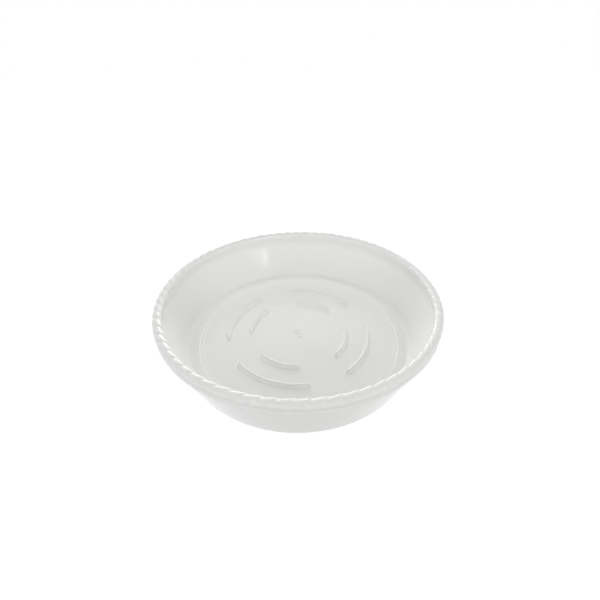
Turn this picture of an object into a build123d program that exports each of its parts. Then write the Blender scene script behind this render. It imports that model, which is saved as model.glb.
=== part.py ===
from build123d import *
import math
import os

# A round plant saucer, moulded in one shot of plastic, with a rope pattern along its rim.
# The origin is in the middle of the face it stands on, with Z up through the dish.
# Each node is one region of the moulding, and neighbours meet face to face.
# Lengths are in millimetres and angles in degrees.

# Overall sizes
rim_diameter = 140.0
overall_height = 31.2
base_diameter = 120.6

# Walls, measured square to their own surfaces
wall_thickness = 1.3
floor_thickness = 1.3

# Rounded corner between the floor and the wall
corner_outer_radius = 1.5
corner_inner_radius = 4.0
corner_height = 5.0
foot_width = 3.3

# Panel inside the foot: its underside is raised off the table, with a sloping step round it
panel_diameter = 104.0
panel_rise = 0.8
step_width = 1.2

# Band under the rope: it overhangs the wall by a small ledge at the mould's parting line
band_height = 2.35
band_inset = 0.1
band_ledge = 0.3

# Rope along the rim
lobe_count = 72
lobe_diameter = 3.8
groove_diameter = 3.1
rope_seat_drop = 0.95
lay_angle = 25.0
rope_turn_angle = 2.8

# Curved ribs that hold the pot off the floor, four in each of two circles
rib_count = 4
rib_width = 2.8
rib_height = 2.4
rib_side_height = 1.2
rib_middle_angle = 67.8
long_rib_diameter = 75.8
long_rib_arc_angle = 57.0
short_rib_diameter = 52.4
short_rib_arc_angle = 41.5

# Round ejector mark, a low disc on the panel
mark_diameter = 13.2
mark_height = 0.1
mark_distance = 34.5
mark_angle = 112.0

# Moulding gate near the middle of the panel: a boss with a dimple, and a hollow stub beside it
gate_diameter = 4.0
gate_height = 0.7
gate_distance = 1.26
gate_angle = 125.0
dimple_diameter = 1.2
dimple_depth = 0.3
stub_diameter = 3.0
stub_height = 0.45
stub_hollow_diameter = 1.8
stub_hollow_depth = 0.25
stub_distance = 2.3
stub_angle = -62.0

# Places that follow from the sizes above
lobe_radius = lobe_diameter / 2
groove_radius = groove_diameter / 2
rope_path_radius = rim_diameter / 2 - lobe_radius
rope_centre_height = overall_height - lobe_radius
rope_seat_height = rope_centre_height - rope_seat_drop
base_radius = base_diameter / 2
band_bottom_height = rope_seat_height - band_height
band_outer_radius = rim_diameter / 2 - band_inset
wall_top_radius = band_outer_radius - band_ledge
wall_slope = (wall_top_radius - base_radius) / band_bottom_height
wall_lean = math.atan(wall_slope)
wall_width = wall_thickness / math.cos(wall_lean)
panel_top = panel_rise + floor_thickness
panel_radius = panel_diameter / 2
foot_inner_radius = panel_radius + step_width
foot_outer_radius = foot_inner_radius + foot_width

# Round solids are centred on their axis and stand on their own foot
upright = (Align.CENTER, Align.CENTER, Align.MIN)


def outer_wall_radius(height):
    """Radius of the wall's outside at a height."""
    return base_radius + wall_slope * height


def inner_wall_radius(height):
    """Radius of the wall's inside at a height."""
    return outer_wall_radius(height) - wall_width


def ring(outline):
    """Turns a closed outline of radius and height once round the axis."""
    return revolve(Plane.XZ * make_face(outline), Axis.Z)


def corner_arc(corner_radius_at_floor, floor_height, round_radius):
    """Arc that joins the floor to the leaning wall: its start, middle and end."""
    half_turn = (math.pi / 2 - wall_lean) / 2
    reach = round_radius * math.tan(half_turn)
    start = (corner_radius_at_floor - reach, floor_height)
    centre = (start[0], floor_height + round_radius)
    middle = (centre[0] + round_radius * math.sin(half_turn), centre[1] - round_radius * math.cos(half_turn))
    end = (
        centre[0] + round_radius * math.sin(2 * half_turn),
        centre[1] - round_radius * math.cos(2 * half_turn),
    )
    return start, middle, end


def make_floor_panel():
    """Flat disc raised off the table, with the round mark standing on its top."""
    panel = Pos(0, 0, panel_rise) * Cylinder(panel_radius, floor_thickness, align=upright)
    mark = Pos(mark_distance, 0, panel_top) * Cylinder(mark_diameter / 2, 2 * mark_height)
    return panel + Rot(0, 0, mark_angle) * mark


def make_foot_ring():
    """Ring that stands on the table, level with the panel on top, with the step up to the panel underneath."""
    outline = Polyline(
        (foot_inner_radius, 0),
        (foot_outer_radius, 0),
        (foot_outer_radius, panel_top),
        (panel_radius, panel_top),
        (panel_radius, panel_rise),
        close=True,
    )
    return ring(outline)


def make_base_corner():
    """Rounded corner from the foot to the wall."""
    outer = corner_arc(base_radius, 0, corner_outer_radius)
    inner = corner_arc(inner_wall_radius(panel_top), panel_top, corner_inner_radius)
    foot_bottom = (foot_outer_radius, 0)
    foot_top = (foot_outer_radius, panel_top)
    wall_outside = (outer_wall_radius(corner_height), corner_height)
    wall_inside = (inner_wall_radius(corner_height), corner_height)
    outline = [
        Line(foot_bottom, outer[0]),
        ThreePointArc(*outer),
        Line(outer[2], wall_outside),
        Line(wall_outside, wall_inside),
        Line(wall_inside, inner[2]),
        ThreePointArc(*inner),
        Line(inner[0], foot_top),
        Line(foot_top, foot_bottom),
    ]
    return ring(outline)


def make_side_wall():
    """Leaning wall from the rounded corner up to the ledge."""
    outline = Polyline(
        (outer_wall_radius(corner_height), corner_height),
        (wall_top_radius, band_bottom_height),
        (inner_wall_radius(band_bottom_height), band_bottom_height),
        (inner_wall_radius(corner_height), corner_height),
        close=True,
    )
    return ring(outline)


def make_rim_band():
    """Upright band between the ledge and the seat of the rope."""
    seat_half_width = math.sqrt(groove_radius**2 - rope_seat_drop**2)
    outline = Polyline(
        (band_outer_radius, band_bottom_height),
        (rope_path_radius + seat_half_width, rope_seat_height),
        (rope_path_radius - seat_half_width, rope_seat_height),
        (inner_wall_radius(band_bottom_height), band_bottom_height),
        close=True,
    )
    return ring(outline)


def rope_section(half_height, turn):
    """Upright oval across the rope, slanted by the lay, at an angle round the rim."""
    oval = Ellipse(half_height / math.cos(math.radians(lay_angle)), half_height)
    across = Rot(0, 0, turn) * Pos(rope_path_radius, 0, rope_centre_height) * Rot(0, 0, -lay_angle)
    return across * Rot(90, 0, 0) * oval


def make_rope_rim():
    """Ring of equal lobes, each one swelling between two slanted grooves, on a flat seat."""
    pitch = math.degrees(2 * math.pi) / lobe_count
    lobe = loft(
        [
            rope_section(groove_radius, rope_turn_angle),
            rope_section(lobe_radius, rope_turn_angle + pitch / 2),
            rope_section(groove_radius, rope_turn_angle + pitch),
        ]
    )
    below_seat = Cylinder(rim_diameter, rope_seat_height, align=upright)
    seated_lobe = lobe - below_seat
    lobes = [Rot(0, 0, pitch * index) * seated_lobe for index in range(lobe_count)]
    return lobes[0].fuse(*lobes[1:])


def make_rib(circle_diameter, arc, middle_angle):
    """Round-topped rib along an arc of a circle, with round ends."""
    circle_radius = circle_diameter / 2
    half_width = rib_width / 2
    left_foot = (-half_width, 0)
    left_side = (-half_width, rib_side_height)
    crown = (0, rib_height)
    right_side = (half_width, rib_side_height)
    right_foot = (half_width, 0)
    section = make_face(
        [
            Line(left_foot, left_side),
            ThreePointArc(left_side, crown, right_side),
            Line(right_side, right_foot),
            Line(right_foot, left_foot),
        ]
    )
    end_section = section & Pos(half_width / 2, rib_height / 2) * Rectangle(half_width, rib_height)
    bar = revolve(Plane.XZ * Pos(circle_radius, 0) * section, Axis.Z, arc)
    end = Pos(circle_radius, 0) * revolve(Plane.XZ * end_section, Axis.Z)
    rib = bar + end + Rot(0, 0, arc) * end
    return Pos(0, 0, panel_top) * Rot(0, 0, middle_angle - arc / 2) * rib


def make_gate_boss():
    """Low round boss with sloping sides, and a dimple in its top."""
    boss = Cone(gate_diameter / 2, gate_diameter / 2 - gate_height, gate_height, align=upright)
    dimple = Pos(0, 0, gate_height) * Cylinder(dimple_diameter / 2, 2 * dimple_depth)
    return Rot(0, 0, gate_angle) * Pos(gate_distance, 0, panel_top) * (boss - dimple)


def make_gate_stub():
    """Smaller and lower stub beside the boss, with a hollow in its top."""
    stub = Cylinder(stub_diameter / 2, stub_height, align=upright)
    hollow = Pos(0, 0, stub_height) * Cylinder(stub_hollow_diameter / 2, 2 * stub_hollow_depth)
    return Rot(0, 0, stub_angle) * Pos(stub_distance, 0, panel_top) * (stub - hollow)


nodes = {
    "floor_panel": make_floor_panel(),
    "foot_ring": make_foot_ring(),
    "base_corner": make_base_corner(),
    "side_wall": make_side_wall(),
    "rim_band": make_rim_band(),
    "rope_rim": make_rope_rim(),
    "gate_boss": make_gate_boss(),
    "gate_stub": make_gate_stub(),
}
for index in range(rib_count):
    angle = rib_middle_angle + math.degrees(2 * math.pi) / rib_count * index
    nodes[f"long_rib_{index + 1}"] = make_rib(long_rib_diameter, long_rib_arc_angle, angle)
    nodes[f"short_rib_{index + 1}"] = make_rib(short_rib_diameter, short_rib_arc_angle, angle)

os.makedirs("parts", exist_ok=True)
for name, solid in nodes.items():
    export_step(solid, f"parts/{name}.step")
    print(name, len(solid.solids()), round(solid.volume, 1))
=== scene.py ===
import math

import bmesh
import bpy
import numpy as np
from mathutils import Matrix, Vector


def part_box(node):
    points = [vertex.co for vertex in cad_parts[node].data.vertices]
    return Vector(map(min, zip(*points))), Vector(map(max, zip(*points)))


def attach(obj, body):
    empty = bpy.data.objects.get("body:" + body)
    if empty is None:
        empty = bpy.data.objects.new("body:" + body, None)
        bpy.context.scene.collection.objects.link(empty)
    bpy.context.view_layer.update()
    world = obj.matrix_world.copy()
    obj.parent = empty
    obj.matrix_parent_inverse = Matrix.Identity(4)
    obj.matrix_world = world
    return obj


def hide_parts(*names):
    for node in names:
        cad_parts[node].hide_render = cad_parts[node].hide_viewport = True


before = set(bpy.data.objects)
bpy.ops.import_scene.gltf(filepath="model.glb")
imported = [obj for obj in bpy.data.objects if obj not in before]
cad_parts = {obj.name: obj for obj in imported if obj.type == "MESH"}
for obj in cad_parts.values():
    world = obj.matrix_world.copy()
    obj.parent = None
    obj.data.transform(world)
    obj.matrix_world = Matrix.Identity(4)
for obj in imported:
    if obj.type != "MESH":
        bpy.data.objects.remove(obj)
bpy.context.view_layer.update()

# The saucer is one moulding of milky polypropylene. Each piece here is the finished surface of one region,
# and neighbours meet at a common ring, so the whole reads as one skin. Shapes are worked out in millimetres.
MM = 0.001


def node_size(node):
    """Largest radius, lowest height and top height of a round CAD node, in millimetres."""
    low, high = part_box(node)
    return high.x / MM, low.z / MM, high.z / MM


# Sizes read from the frame
rope_outer_radius, _, overall_height = node_size("rope_rim")
band_outer_radius, band_bottom_height, _ = node_size("rim_band")
wall_top_radius, corner_height, _ = node_size("side_wall")
corner_top_radius, _, _ = node_size("base_corner")
foot_outer_radius, _, panel_top = node_size("foot_ring")
panel_radius, panel_bottom, _ = node_size("floor_panel")

# Sizes of the moulding, in millimetres
wall_thickness = 1.3
step_width = 1.2
floor_seam_inset = 1.1
corner_outer_round = 1.5
corner_inner_round = 4.0

# Two fine raised lines round the floor. Each is steep inside and slopes gently outward to its radius.
# Painted highlight from 0 to 1: how much lighter than the floor a line is drawn, for the glint on its edges.
outer_line = {"radius": 53.6, "slope": 0.6, "side": 0.15, "height": 0.2, "painted_highlight": 0.6}
inner_line = {"radius": 51.55, "slope": 0.5, "side": 0.1, "height": 0.1, "painted_highlight": 0.35}

# Parting line: a fine ridge at the foot of the band, over a small ledge
ridge_height = 0.5
ridge_depth = 0.2
ledge_round = 0.1

# Rope along the rim: a bead that is round outside and flatter inside, cut by slanting grooves
lobe_count = 72
bead_height = 1.9
bead_outer_width = 1.95
bead_inner_width = 2.15
bead_inner_drop = 1.5
groove_depth = 0.34
groove_turn = math.radians(3.3)
groove_lay = 1.46
lobe_crest = 0.78
rope_foot_height = 27.6
rope_inner_foot_height = 27.0

# Where the grooves start and end over the rope's section, as angles round the bead
groove_start = -0.45
groove_rise = 1.0
groove_end = math.radians(200)
groove_fall = 0.7

# Inside of the wall: it leaves the wall's straight line here and bends upright to meet the rope's inner edge
bend_height = 22.5
wall_split_height = 22.0

# Ribs, gate and ejector mark
rib_width = 2.8
rib_height = 2.4
rib_foot_round = 0.35
rib_crown_half_width = 1.15
rib_crown_height = 1.2
rib_sink = 0.1
rib_middle_angle = math.radians(67.8)
rib_count = 4
long_rib = {"name": "long_rib", "radius": 37.9, "arc": math.radians(57.0)}
short_rib = {"name": "short_rib", "radius": 26.2, "arc": math.radians(41.5)}
mark_radius = 6.6
mark_height = 0.1
mark_distance = 34.5
mark_angle = math.radians(112.0)
gate_place = (-0.72, 1.03)
stub_place = (1.08, -2.03)

# Plastic: the size of its clouds, and the size and depth of the faint grain that the mould leaves
cloud_size = 9
grain_size = 0.8
grain_depth = 0.02

# Camera, from a fit to the photograph: focal length in pixels, place in millimetres and turns in radians
focal_pixels = 340.6
picture_pixels = 600
sensor_width = 36
camera_place = (1.038, -142.01, 127.68)
camera_pitch = 0.628
camera_roll = -0.012

# Light: each lamp's azimuth and elevation in degrees, its width and height in metres, its power in watts, and
# its kind where it isn't soft. All stand at one distance, in metres.
lamp_distance = 1.0
room_glow = 0.41
lamps = [
    ("top_front", 270, 45, 0.7, 0.7, 1.65),
    ("front", 270, 26, 0.9, 0.2, 1.9),
    ("front_left", 225, 11, 0.78, 0.2, 1.2),
    ("front_right", 315, 11, 0.78, 0.2, 0.4),
    ("back_high", 95, 34, 0.45, 0.3, 1.6),
    ("right_low", 0, 11, 0.78, 0.2, 0.3),
    ("front_through", 270, 40, 0.6, 0.6, 0.5, "through"),
    ("right_through", 0, 8, 0.78, 0.25, 2.2, "through"),
    ("left_through", 180, 8, 0.78, 0.25, 1.8, "through"),
    ("back_edge", 97, 12, 0.5, 0.36, 1.9, "edge"),
    ("back_high_through", 95, 22, 0.5, 0.2, 5.0, "through"),
    ("window", -53, 11.5, 0.235, 0.11, 0.12, "mirrored"),
    ("window_bar", -57, 11.2, 0.1, 0.012, 0.04, "mirrored"),
    ("warm_lamp", -34, 27, 0.1, 0.06, 0.3, "mirrored", "#FFFFD0"),
]

# Sizes that follow
wall_slope = (wall_top_radius - corner_top_radius) / (band_bottom_height - corner_height)
wall_lean = math.atan(wall_slope)
wall_width = wall_thickness / math.cos(wall_lean)
base_radius = corner_top_radius - wall_slope * corner_height
step_foot_radius = panel_radius + step_width
band_face_radius = band_outer_radius - ridge_depth
bead_top_radius = rope_outer_radius - bead_outer_width
bead_middle_height = overall_height - bead_height
bead_inner_radius = bead_top_radius - bead_inner_width
bead_inner_foot = overall_height - bead_inner_drop
floor_seam_radius = panel_radius - floor_seam_inset
wall_seam_height = band_bottom_height - 0.2

# Mesh: steps round the saucer and along a lobe, whether a grid closes across and along, and the distance in
# millimetres at which points merge
ROUND_STEPS = 720
LOBE_STEPS = 20
DISC = (False, True)
RING = (True, True)
merge_distance = 0.0005


def smooth(x):
    """Smooth step from 0 to 1: 3 x^2 - 2 x^3, held at its ends."""
    x = np.clip(x, 0, 1)
    return x * x * (3 - 2 * x)


def outer_wall(height):
    """Radius of the wall's outside at a height: the straight line through the two CAD rings."""
    return base_radius + wall_slope * height


def inner_wall(height):
    """Radius of the wall's inside at a height.

    Up to the bend it is the outside less the wall's width. From there a cubic in the height takes it to the
    rope's inner edge, leaving at the wall's slope and arriving upright.
    """
    height = np.asarray(height, float)
    straight = outer_wall(height) - wall_width
    reach = bead_inner_foot - bend_height
    u = np.clip((height - bend_height) / reach, 0, 1)
    start = outer_wall(bend_height) - wall_width
    bent = start + smooth(u) * (bead_inner_radius - start) + (u**3 - 2 * u**2 + u) * reach * wall_slope
    return np.where(height < bend_height, straight, bent)


def inner_face(top, bottom, step=1.0):
    """Points down the inside of the wall from one height to another."""
    height = np.linspace(top, bottom, max(2, math.ceil((top - bottom) / step) + 1))
    return np.stack([inner_wall(height), height], 1)


def rounded(points, rounds, steps=6):
    """A polyline with each inner corner replaced by an arc of its own radius, tangent to both its edges.

    Each corner point moves onto the circle that touches both edges at radius x tan(turn / 2) from the corner.
    """
    points = np.asarray(points, float)
    out = [points[:1]]
    for before, corner, after, radius in zip(points[:-2], points[1:-1], points[2:], rounds):
        if radius == 0:
            out.append(corner[None])
            continue
        into = (corner - before) / np.linalg.norm(corner - before)
        away = (after - corner) / np.linalg.norm(after - corner)
        turn = math.acos(np.clip(into @ away, -1, 1))
        side = math.copysign(1, into[0] * away[1] - into[1] * away[0])
        start = corner - into * radius * math.tan(turn / 2)
        left = np.array([-into[1], into[0]]) * side
        swing = np.linspace(0, turn, steps + 1)[:, None]
        out.append(start + radius * (np.sin(swing) * into + (1 - np.cos(swing)) * left))
    out.append(points[-1:])
    return np.concatenate(out)


def subdivided(points, longest):
    """The same polyline with each edge cut into equal parts no longer than a given length."""
    out = [points[:1]]
    for start, end in zip(points[:-1], points[1:]):
        parts = max(1, math.ceil(np.linalg.norm(end - start) / longest))
        out.append(start + (end - start) * np.linspace(0, 1, parts + 1)[1:, None])
    return np.concatenate(out)


def piece(name, grids, nodes, material, sharp=50):
    """One finished piece from grids of points in millimetres, first index across and second index along.

    Each grid comes with a pair that says whether it closes on itself across and along. Quads join
    neighbouring points, and points that fall together, as at a pole or a seam, are merged. Edges that turn
    more than a given number of degrees stay sharp.
    """
    points, quads, first = [], [], 0
    for grid, (across_closed, along_closed) in grids:
        rows, columns = grid.shape[:2]
        across = np.arange(rows if across_closed else rows - 1)
        along = np.arange(columns if along_closed else columns - 1)
        i, j = (a.ravel() for a in np.meshgrid(across, along, indexing="ij"))
        i_next, j_next = (i + 1) % rows, (j + 1) % columns
        corners = [i * columns + j, i * columns + j_next, i_next * columns + j_next, i_next * columns + j]
        quads.append(first + np.stack(corners, 1))
        points.append(grid.reshape(-1, 3) * MM)
        first += rows * columns
    mesh = bpy.data.meshes.new(name)
    mesh.from_pydata(np.concatenate(points).tolist(), [], np.concatenate(quads).tolist())
    merged = bmesh.new()
    merged.from_mesh(mesh)
    bmesh.ops.remove_doubles(merged, verts=merged.verts, dist=merge_distance * MM)
    merged.to_mesh(mesh)
    merged.free()
    mesh.shade_smooth()
    mesh.set_sharp_from_angle(angle=math.radians(sharp))
    mesh.materials.append(material)
    thing = bpy.data.objects.new(name, mesh)
    bpy.context.scene.collection.objects.link(thing)
    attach(thing, "root")
    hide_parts(*nodes)
    return thing


def turned(profile, centre=(0, 0), steps=ROUND_STEPS):
    """A profile of radius r and height z turned once round an upright axis.

    The points are (r cos a, r sin a, z), for each profile point and each angle a.
    """
    angle = np.arange(steps) * 2 * math.pi / steps
    radius, height = profile[:, 0, None], profile[:, 1, None]
    x = centre[0] + radius * np.cos(angle)
    y = centre[1] + radius * np.sin(angle)
    return np.stack([x, y, np.broadcast_to(height, x.shape)], 2)


def floor_panel(material):
    """Flat disc from the axis to just inside the raised lines, closed by an upright edge."""
    edge = floor_seam_radius
    profile = np.array([(0, panel_bottom), (edge, panel_bottom), (edge, panel_top), (0, panel_top)])
    grids = [(turned(subdivided(profile, 6)), DISC), (ejector_mark(), DISC)]
    piece("floor_panel", grids, ["floor_panel"], material)


def ejector_mark():
    """Low disc with a fine raised lip, standing on the panel and sunk a little into it."""
    profile = np.array(
        [
            (0, -mark_height),
            (mark_radius, -mark_height),
            (mark_radius, 0.4 * mark_height),
            (mark_radius - 0.15, mark_height),
            (mark_radius - 0.35, mark_height),
            (mark_radius - 0.6, 0.35 * mark_height),
            (0, 0.35 * mark_height),
        ]
    )
    profile = rounded(profile, [0, 0.03, 0.1, 0.1, 0.2]) + (0, panel_top)
    centre = mark_distance * np.array([math.cos(mark_angle), math.sin(mark_angle)])
    return turned(profile, centre, 160)


def foot_ring(material):
    """Foot: a ring with the step up to the panel underneath, and two fine raised lines on its level top."""
    edge = floor_seam_radius
    step = [(panel_radius, panel_bottom), (step_foot_radius, 0)]
    under = [(edge, panel_bottom), *step, (foot_outer_radius, 0)]
    top = [(foot_outer_radius, panel_top)]
    for line in (outer_line, inner_line):
        crest = line["radius"] - line["slope"]
        top.append((line["radius"], panel_top))
        top.append((crest, panel_top + line["height"]))
        top.append((crest - line["side"], panel_top))
    top.append((edge, panel_top))
    profile = np.concatenate([rounded(under, [0.8, 0.6]), rounded(top, [0.2, 0.08, 0.08, 0.2, 0.06, 0.06])])
    piece("foot_ring", [(turned(profile), RING)], ["foot_ring"], material)


def base_corner(material):
    """Rounded corner: the foot and the wall joined by an arc outside and a larger arc inside."""
    outside = [(foot_outer_radius, 0), (base_radius, 0), (outer_wall(corner_height), corner_height)]
    inside = [
        (float(inner_wall(corner_height)), corner_height),
        (float(inner_wall(panel_top)), panel_top),
        (foot_outer_radius, panel_top),
    ]
    profile = np.concatenate(
        [rounded(outside, [corner_outer_round], 12), rounded(inside, [corner_inner_round], 20)]
    )
    piece("base_corner", [(turned(profile), RING)], ["base_corner"], material)


def side_wall(material):
    """Leaning wall, from the corner up to just under the ledge outside and just under the blend inside."""
    top = wall_seam_height
    outside = np.array([(outer_wall(corner_height), corner_height), (outer_wall(top), top)])
    profile = np.concatenate([subdivided(outside, 2), inner_face(wall_split_height, corner_height)])
    piece("side_wall", [(turned(profile), RING)], ["side_wall"], material)


def rim_band(material):
    """Upright band over the ledge, with a fine ridge along its foot where the two halves of the mould met."""
    outside = [
        (outer_wall(wall_seam_height), wall_seam_height),
        (outer_wall(band_bottom_height), band_bottom_height),
        (band_outer_radius, band_bottom_height),
        (band_outer_radius, band_bottom_height + 0.4 * ridge_height),
        (band_face_radius, band_bottom_height + ridge_height),
        (band_face_radius, rope_foot_height),
    ]
    inside = inner_face(rope_inner_foot_height, wall_split_height)
    profile = np.concatenate([rounded(outside, [0.05, ledge_round, ledge_round, 0.3], 4), inside])
    piece("rim_band", [(turned(profile), RING)], ["rim_band"], material)


def lobe_sink(f):
    """How far a point lies under the crest of its lobe, from 0 to 1, at the fraction f of a pitch.

    Up to the crest it is (1 - f / crest) squared, an arch that climbs ever more gently. Past it, a short
    smooth step drops into the next groove.
    """
    climb = (1 - np.clip(f / lobe_crest, 0, 1)) ** 2
    return climb + smooth((f - lobe_crest) / (1 - lobe_crest))


def rope_rim(material):
    """Rope: the rim's bead, cut by slanting grooves, over the band outside and the top of the wall inside.

    The section swells smoothly out of the band, goes over the bead by an angle t, a quarter ellipse outside
    and a lower one inside, and runs down to the wall. Each point sinks along its own normal by
    depth x lobe_sink(f), where f is the fraction of a pitch at count x (angle - groove turn
    - lay x (t - quarter turn) / radius), and the depth fades out towards the band and the wall.
    """
    climb = np.linspace(rope_foot_height, bead_middle_height, 8)[:-1]
    swell = smooth((climb - rope_foot_height) / (bead_middle_height - rope_foot_height))
    band = np.stack([band_face_radius + (rope_outer_radius - band_face_radius) * swell, climb], 1)
    t_band = (climb - bead_middle_height) / bead_height
    t_out = np.linspace(0, math.pi / 2, 16)[:-1]
    outer_radius = bead_top_radius + bead_outer_width * np.cos(t_out)
    outer = np.stack([outer_radius, bead_middle_height + bead_height * np.sin(t_out)], 1)
    t_in = np.linspace(math.pi / 2, math.pi, 18)
    inner_radius = bead_top_radius + bead_inner_width * np.cos(t_in)
    inner = np.stack([inner_radius, bead_inner_foot + bead_inner_drop * np.sin(t_in)], 1)
    under = inner_face(bead_inner_foot, rope_inner_foot_height, 0.3)[1:]
    t_under = math.pi + (bead_inner_foot - under[:, 1]) / bead_height
    section = np.concatenate([band, outer, inner, under])
    t = np.concatenate([t_band, t_out, t_in, t_under])
    fade = smooth((t - groove_start) / groove_rise) * smooth((groove_end - t) / groove_fall)
    along = np.gradient(section, axis=0)
    normal = np.stack([along[:, 1], -along[:, 0]], 1) / np.linalg.norm(along, axis=1)[:, None]
    angle = np.arange(lobe_count * LOBE_STEPS) * 2 * math.pi / (lobe_count * LOBE_STEPS)
    lay = groove_lay / bead_top_radius
    f = lobe_count / (2 * math.pi) * (angle[None] - groove_turn - lay * (t[:, None] - math.pi / 2)) % 1
    sink = groove_depth * fade[:, None] * lobe_sink(f)
    radius = section[:, 0, None] - normal[:, 0, None] * sink
    height = section[:, 1, None] - normal[:, 1, None] * sink
    points = np.stack([radius * np.cos(angle), radius * np.sin(angle), height], 2)
    piece("rope_rim", [(points, RING)], ["rope_rim"], material)


def rib(kind, index, material):
    """Curved rib with round ends: a point at a distance d from the rib's arc has a height that depends on d.

    The height profile goes flat along the panel, turns up in a small fillet, climbs the side and rounds over
    to the crown at d = 0. Underneath, the same rings close on the arc inside the panel.
    """
    half = rib_width / 2
    d_round = np.linspace(0.25, math.pi / 2, 12)
    side_height = rib_height - rib_crown_height
    crown_height = side_height + rib_crown_height * np.sin(d_round)
    crown = np.stack([rib_crown_half_width * np.cos(d_round), crown_height], 1)
    foot = rounded([(half + 0.5, 0), (half, 0), tuple(crown[0])], [rib_foot_round], 5)
    under = [(0, -rib_sink), (half + 0.3, -rib_sink), (half + 0.5, -0.02)]
    profile = np.concatenate([under, foot[1:-1], crown])
    middle = rib_middle_angle + index * 2 * math.pi / rib_count
    bar = np.linspace(-kind["arc"] / 2, kind["arc"] / 2, 90)
    swing = np.linspace(0, math.pi, 18)[1:-1]
    turn = np.concatenate([bar, np.full_like(swing, bar[-1]), bar[::-1], np.full_like(swing, bar[0])])
    out = np.concatenate([np.zeros_like(bar), swing, np.full_like(bar, math.pi), swing + math.pi])
    d, z = profile[:, 0, None], profile[:, 1, None]
    along, aside = d * np.sin(out), d * np.cos(out)
    angle = middle + turn
    x = (kind["radius"] + aside) * np.cos(angle) - along * np.sin(angle)
    y = (kind["radius"] + aside) * np.sin(angle) + along * np.cos(angle)
    points = np.stack([x, y, np.broadcast_to(panel_top + z, x.shape)], 2)
    name = f"{kind['name']}_{index + 1}"
    piece(name, [(points, RING)], [name], material)


def gate_boss(material):
    """Low boss with sloping sides and a dimple."""
    foot = [(0, -0.1), (2.1, -0.1), (2.1, 0), (1.9, 0.1)]
    top = [(1.35, 0.7), (0.65, 0.7), (0.55, 0.35), (0, 0.35)]
    profile = rounded(foot + top, [0, 0.02, 0.15, 0.2, 0.15, 0.1]) + (0, panel_top)
    piece("gate_boss", [(turned(profile, gate_place, 96), DISC)], ["gate_boss"], material)


def gate_stub(material):
    """Lower stub with a wide hollow."""
    foot = [(0, -0.1), (1.55, -0.1), (1.55, 0), (1.45, 0.1)]
    top = [(1.3, 0.45), (1.0, 0.45), (0.8, 0.2), (0, 0.2)]
    profile = rounded(foot + top, [0, 0.02, 0.1, 0.1, 0.1, 0.1]) + (0, panel_top)
    piece("gate_stub", [(turned(profile, stub_place, 96), DISC)], ["gate_stub"], material)


def linear(colour):
    """An sRGB hex colour as linear RGBA."""
    values = [int(colour[i : i + 2], 16) / 255 for i in (1, 3, 5)]
    return [v / 12.92 if v <= 0.04045 else ((v + 0.055) / 1.055) ** 2.4 for v in values] + [1]


def add(tree, kind, settings=None, **links):
    """Adds a shader node, sets its properties and sockets, and links the sockets given as outputs."""
    node = tree.nodes.new(kind)
    for key, value in (settings or {}).items():
        if hasattr(node, key):
            setattr(node, key, value)
        else:
            node.inputs[key].default_value = value
    for key, source in links.items():
        tree.links.new(source, node.inputs[key.replace("_", " ")])
    return node


def fine_line_highlight_mask(tree, place):
    """Output that is each fine raised line's painted highlight along it, and 0 elsewhere.

    The lines are drawn lighter than the floor: a painted highlight for the glint along their edges.
    """
    level = add(tree, "ShaderNodeVectorMath", {"operation": "MULTIPLY"})
    tree.links.new(place, level.inputs[0])
    level.inputs[1].default_value = (1, 1, 0)
    radius = add(tree, "ShaderNodeVectorMath", {"operation": "LENGTH"})
    tree.links.new(level.outputs[0], radius.inputs[0])
    both = add(tree, "ShaderNodeMath", {"operation": "ADD"})
    for socket, line in zip(both.inputs, (outer_line, inner_line)):
        half = line["slope"] / 2
        on_line = add(tree, "ShaderNodeMath", {"operation": "COMPARE"})
        tree.links.new(radius.outputs["Value"], on_line.inputs[0])
        on_line.inputs[1].default_value = (line["radius"] - half) * MM
        on_line.inputs[2].default_value = half * MM
        share = add(tree, "ShaderNodeMath", {"operation": "MULTIPLY"})
        tree.links.new(on_line.outputs[0], share.inputs[0])
        share.inputs[1].default_value = line["painted_highlight"]
        tree.links.new(share.outputs[0], socket)
    return both.outputs[0]


def milky_polypropylene():
    """Injection-moulded natural polypropylene: cloudy white and glossy from a polished mould."""
    material = bpy.data.materials.new("milky_polypropylene_as_moulded")
    material.use_nodes = True
    tree = material.node_tree
    tree.nodes.clear()
    place = add(tree, "ShaderNodeTexCoord").outputs["Object"]
    clouds = {"Scale": 1 / (cloud_size * MM), "Detail": 3.0, "Roughness": 0.5}
    cloud = add(tree, "ShaderNodeTexNoise", clouds, Vector=place)
    tint = add(tree, "ShaderNodeMix", {"data_type": "RGBA"})
    tint.inputs[6].default_value = linear("#DCDCDB")
    tint.inputs[7].default_value = linear("#DEDEDD")
    tree.links.new(cloud.outputs["Fac"], tint.inputs["Factor"])
    grain = add(tree, "ShaderNodeTexNoise", {"Scale": 1 / (grain_size * MM), "Detail": 2.0}, Vector=place)
    relief = {"Strength": 0.15, "Distance": grain_depth * MM}
    bump = add(tree, "ShaderNodeBump", relief, Height=grain.outputs["Fac"])
    # Painted highlight: the fine raised lines are mixed towards near-white, for the glint along their edges.
    painted_line_highlight = add(tree, "ShaderNodeMix", {"data_type": "RGBA"})
    tree.links.new(fine_line_highlight_mask(tree, place), painted_line_highlight.inputs["Factor"])
    tree.links.new(tint.outputs[2], painted_line_highlight.inputs[6])
    painted_line_highlight.inputs[7].default_value = linear("#F6F6F4")
    shader = add(
        tree,
        "ShaderNodeBsdfPrincipled",
        {"Roughness": 0.11, "IOR": 1.49},
        Base_Color=painted_line_highlight.outputs[2],
        Normal=bump.outputs["Normal"],
    )
    add(tree, "ShaderNodeOutputMaterial", Surface=shader.outputs["BSDF"])
    return material


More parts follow.
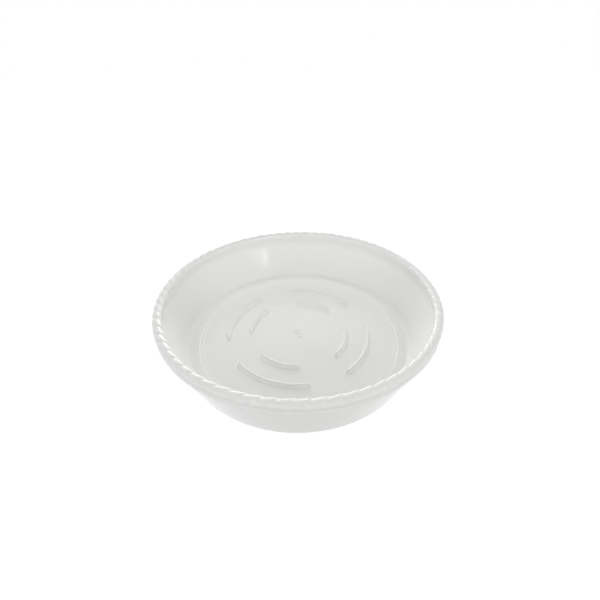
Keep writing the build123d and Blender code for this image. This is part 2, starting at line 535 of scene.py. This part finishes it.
def seen_directly(tree):
    """Output that is 1 for rays from the camera, a gloss or a clear piece, and 0 for light that spreads."""
    path = add(tree, "ShaderNodeLightPath").outputs
    either = add(tree, "ShaderNodeMath", {"operation": "MAXIMUM"})
    tree.links.new(path["Is Camera Ray"], either.inputs[0])
    tree.links.new(path["Is Glossy Ray"], either.inputs[1])
    any_of = add(tree, "ShaderNodeMath", {"operation": "MAXIMUM"})
    tree.links.new(either.outputs[0], any_of.inputs[0])
    tree.links.new(path["Is Transmission Ray"], any_of.inputs[1])
    return any_of.outputs[0]


def choose(tree, factor, plain, shown):
    """Mix of two shaders: the plain one, and the one that is shown where the factor is 1."""
    pick = add(tree, "ShaderNodeMixShader")
    tree.links.new(factor, pick.inputs[0])
    tree.links.new(plain.outputs[0], pick.inputs[1])
    tree.links.new(shown.outputs[0], pick.inputs[2])
    return pick.outputs[0]


def white_room():
    """World that looks white and lights the saucer with a weaker even glow."""
    world = bpy.data.worlds.new("white_room")
    bpy.context.scene.world = world
    world.use_nodes = True
    tree = world.node_tree
    tree.nodes.clear()
    glow = add(tree, "ShaderNodeBackground", {"Color": (1, 1, 1, 1), "Strength": room_glow})
    white = add(tree, "ShaderNodeBackground", {"Color": (1, 1, 1, 1), "Strength": 1.0})
    add(tree, "ShaderNodeOutputWorld", Surface=choose(tree, seen_directly(tree), glow, white))


def pale_floor():
    """Pale matt table that looks white where it is seen directly. The saucer's shadow on it doesn't show.

    Its own glow rises from 0.2 to 0.9 metres out, where the lamps reach less, so it meets the white world.
    """
    angle = np.arange(96) * 2 * math.pi / 96
    ring = np.stack([3 * np.cos(angle), 3 * np.sin(angle), np.zeros(96)], 1)
    mesh = bpy.data.meshes.new("floor")
    mesh.from_pydata(ring.tolist(), [], [list(range(96))])
    floor = bpy.data.objects.new("floor", mesh)
    bpy.context.scene.collection.objects.link(floor)
    paint = bpy.data.materials.new("pale_matt_table")
    paint.use_nodes = True
    tree = paint.node_tree
    tree.nodes.clear()
    matt = add(tree, "ShaderNodeBsdfDiffuse", {"Color": (0.4, 0.4, 0.4, 1)})
    shade = add(tree, "ShaderNodeBsdfDiffuse", {"Color": (0.2, 0.2, 0.2, 1)})
    place = add(tree, "ShaderNodeTexCoord").outputs["Object"]
    distance = add(tree, "ShaderNodeVectorMath", {"operation": "LENGTH"}, Vector=place)
    ends = {"From Min": 0.2, "From Max": 0.9, "To Min": 0.86, "To Max": 1.0}
    rise = add(tree, "ShaderNodeMapRange", ends, Value=distance.outputs["Value"])
    glow = add(tree, "ShaderNodeEmission", Strength=rise.outputs["Result"])
    both = add(tree, "ShaderNodeAddShader")
    tree.links.new(shade.outputs[0], both.inputs[0])
    tree.links.new(glow.outputs[0], both.inputs[1])
    add(tree, "ShaderNodeOutputMaterial", Surface=choose(tree, seen_directly(tree), matt, both))
    mesh.materials.append(paint)


def lamp(name, azimuth, elevation, width, height, watts, kind="soft", colour="#FFFFFF"):
    """Lamp that faces the saucer: a flat panel of a width and height in metres.

    A soft lamp is behind a scrim and doesn't show in the gloss, and a mirrored one does. A through lamp
    stands for the light that milky plastic lets through its thin walls, so no wall shades it. An edge lamp is
    both at once: it draws a bright line along edges that face away from the viewer.
    """
    light = bpy.data.lights.new(name, "AREA")
    light.shape = "ELLIPSE" if width == height else "RECTANGLE"
    light.size = width
    light.size_y = height
    light.energy = watts
    light.use_shadow = kind not in ("through", "edge")
    light.color = linear(colour)[:3]
    thing = bpy.data.objects.new(name, light)
    bpy.context.scene.collection.objects.link(thing)
    thing.visible_glossy = kind in ("mirrored", "edge")
    thing.visible_camera = False
    azimuth, elevation = math.radians(azimuth), math.radians(elevation)
    flat = lamp_distance * math.cos(elevation)
    height_up = lamp_distance * math.sin(elevation)
    thing.location = (flat * math.cos(azimuth), flat * math.sin(azimuth), height_up)
    thing.rotation_euler = thing.location.to_track_quat("Z", "Y").to_euler()


def camera():
    """The photograph's view: close, wide and looking down."""
    lens = bpy.data.cameras.new("camera")
    lens.sensor_width = sensor_width
    lens.lens = focal_pixels / picture_pixels * sensor_width
    lens.clip_start = 0.005
    thing = bpy.data.objects.new("camera", lens)
    bpy.context.scene.collection.objects.link(thing)
    thing.location = [length * MM for length in camera_place]
    tilt = Matrix.Rotation(math.pi / 2 - camera_pitch, 4, "X") @ Matrix.Rotation(camera_roll, 4, "Z")
    thing.rotation_euler = tilt.to_euler()
    bpy.context.scene.camera = thing


plastic = milky_polypropylene()
floor_panel(plastic)
foot_ring(plastic)
base_corner(plastic)
side_wall(plastic)
rim_band(plastic)
rope_rim(plastic)
for index in range(rib_count):
    rib(long_rib, index, plastic)
    rib(short_rib, index, plastic)
gate_boss(plastic)
gate_stub(plastic)
white_room()
pale_floor()
for name, *values in lamps:
    lamp(name, *values)
camera()
bpy.context.scene.view_settings.view_transform = "Standard"
